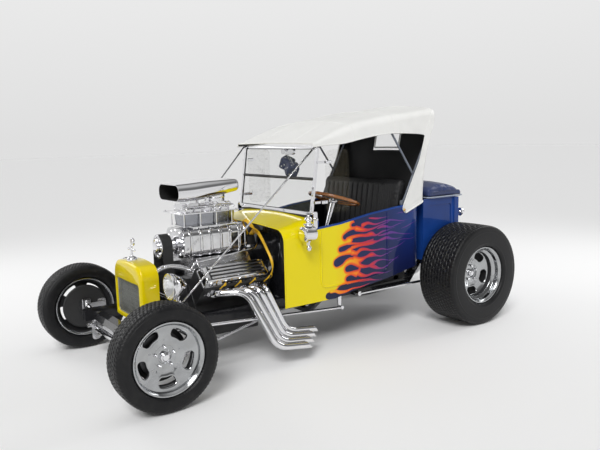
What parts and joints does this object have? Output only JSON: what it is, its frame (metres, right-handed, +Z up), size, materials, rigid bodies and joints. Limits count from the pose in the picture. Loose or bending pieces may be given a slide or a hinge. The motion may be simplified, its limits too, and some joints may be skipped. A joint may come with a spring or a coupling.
{
  "type": "hot rod",
  "caption": "Fenderless two-seat roadster pickup hot rod with flame paint, a blown vee-eight, chrome headers, a white soft top, steered front wheels, and a hinged bed cover and tailgate.",
  "frame": {"origin": "on the ground, under the middle of the bounding box", "axes": "+X towards the car's left, +Y towards its rear, +Z up"},
  "size_m": [1.64, 3.3318, 1.7299],
  "materials": {
    "body_paint": "gloss",
    "front_paint": "gloss",
    "bed_paint": "gloss",
    "frame_paint": "gloss",
    "engine_paint": "satin",
    "chrome": "polished",
    "polished_steel": "polished",
    "polished_alloy": "polished",
    "tyre_rubber": "matte",
    "belt_rubber": "matte",
    "white_vinyl": "satin",
    "cover_vinyl": "satin",
    "black_leather": "satin",
    "dark_plastic": "matte",
    "clear_glass": "gloss",
    "lens_glass": "gloss",
    "wheel_wood": "gloss"
  },
  "bodies": {
    "chassis": {"air_scoop": "chrome", "blower_belt": "belt_rubber", "blower_case": "polished_alloy", "blower_drive": "polished_alloy", "body_tub": "body_paint", "carburettors": "chrome", "cowl_lamps": "chrome", "dash": "body_paint", "engine_block": "engine_paint", "floor": "frame_paint", "frame": "frame_paint", "front_axle": "chrome", "front_suspension": "polished_steel", "gearbox": "polished_alloy", "grille": "dark_plastic", "headers": "chrome", "headlamp_lenses": "lens_glass", "headlamps": "chrome", "ignition": "polished_alloy", "intake_manifold": "polished_alloy", "pickup_bed": "bed_paint", "radiator_cap": "chrome", "radiator_core": "frame_paint", "radiator_shell": "front_paint", "rear_axle": "chrome", "seat": "black_leather", "soft_top": "white_vinyl", "steering_column": "chrome", "tail_lamps": "chrome", "top_bows": "frame_paint", "valve_covers": "polished_alloy", "windshield_braces": "chrome", "windshield_frame": "chrome", "windshield_glass": "clear_glass"},
    "steering_wheel": {"steering_wheel": "wheel_wood"},
    "pitman_arm": {"pitman_arm": "chrome"},
    "drag_link": {"drag_link": "chrome"},
    "tie_rod": {"tie_rod": "chrome"},
    "knuckle_left": {"knuckle_left": "polished_steel"},
    "knuckle_right": {"knuckle_right": "polished_steel"},
    "wheel_front_left": {"rim_front_left": "polished_alloy", "tyre_front_left": "tyre_rubber"},
    "wheel_front_right": {"rim_front_right": "polished_alloy", "tyre_front_right": "tyre_rubber"},
    "wheel_rear_left": {"rim_rear_left": "polished_alloy", "tyre_rear_left": "tyre_rubber"},
    "wheel_rear_right": {"rim_rear_right": "polished_alloy", "tyre_rear_right": "tyre_rubber"},
    "bed_cover": {"bed_cover": "cover_vinyl"},
    "tailgate": {"tailgate": "bed_paint"}
  },
  "joints": [
    {"name": "steer_left", "type": "hinge", "parent": "chassis", "child": "knuckle_left", "pos_m": [0.612, -1.36, 0.306], "axis": [0, 0, 1], "range_deg": [-25, 25]},
    {"name": "steer_right", "type": "hinge", "parent": "chassis", "child": "knuckle_right", "pos_m": [-0.612, -1.36, 0.306], "axis": [0, 0, 1], "range_deg": [-25, 25]},
    {"name": "tie_rod_pivot", "type": "hinge", "parent": "knuckle_left", "child": "tie_rod", "pos_m": [0.612, -1.24, 0.234], "axis": [0, 0, 1], "range_deg": [-25, 25]},
    {"name": "drag_link_pivot", "type": "hinge", "parent": "knuckle_left", "child": "drag_link", "pos_m": [0.482, -1.36, 0.37], "axis": [0, 0, 1], "range_deg": [-25, 25]},
    {"name": "pitman_pivot", "type": "hinge", "parent": "chassis", "child": "pitman_arm", "pos_m": [0.372, 0.17, 0.352], "axis": [1, 0, 0], "range_deg": [-32, 32]},
    {"name": "steering_wheel_turn", "type": "hinge", "parent": "chassis", "child": "steering_wheel", "pos_m": [0.25, 0.24, 1.03], "axis": [0, 0.309, 0.9511], "range_deg": [-300, 300]},
    {"name": "spin_front_left", "type": "hinge", "parent": "knuckle_left", "child": "wheel_front_left", "pos_m": [0.728, -1.36, 0.306], "axis": [1, 0, 0], "continuous": true},
    {"name": "spin_front_right", "type": "hinge", "parent": "knuckle_right", "child": "wheel_front_right", "pos_m": [-0.728, -1.36, 0.306], "axis": [1, 0, 0], "continuous": true},
    {"name": "spin_rear_left", "type": "hinge", "parent": "chassis", "child": "wheel_rear_left", "pos_m": [0.65, 1.275, 0.391], "axis": [1, 0, 0], "continuous": true},
    {"name": "spin_rear_right", "type": "hinge", "parent": "chassis", "child": "wheel_rear_right", "pos_m": [-0.65, 1.275, 0.391], "axis": [1, 0, 0], "continuous": true},
    {"name": "bed_cover_hinge", "type": "hinge", "parent": "chassis", "child": "bed_cover", "pos_m": [0, 1.002, 1.078], "axis": [1, 0, 0], "range_deg": [0, 60]},
    {"name": "tailgate_hinge", "type": "hinge", "parent": "chassis", "child": "tailgate", "pos_m": [0, 1.359, 0.6088], "axis": [-1, 0, 0], "range_deg": [0, 90]}
  ],
  "couplings": [
    {"joint": "steer_right", "follows": "steer_left", "ratio": 1},
    {"joint": "tie_rod_pivot", "follows": "steer_left", "ratio": -1},
    {"joint": "drag_link_pivot", "follows": "steer_left", "ratio": -1},
    {"joint": "pitman_pivot", "follows": "steer_left", "ratio": -1.25},
    {"joint": "steering_wheel_turn", "follows": "steer_left", "ratio": 12}
  ]
}
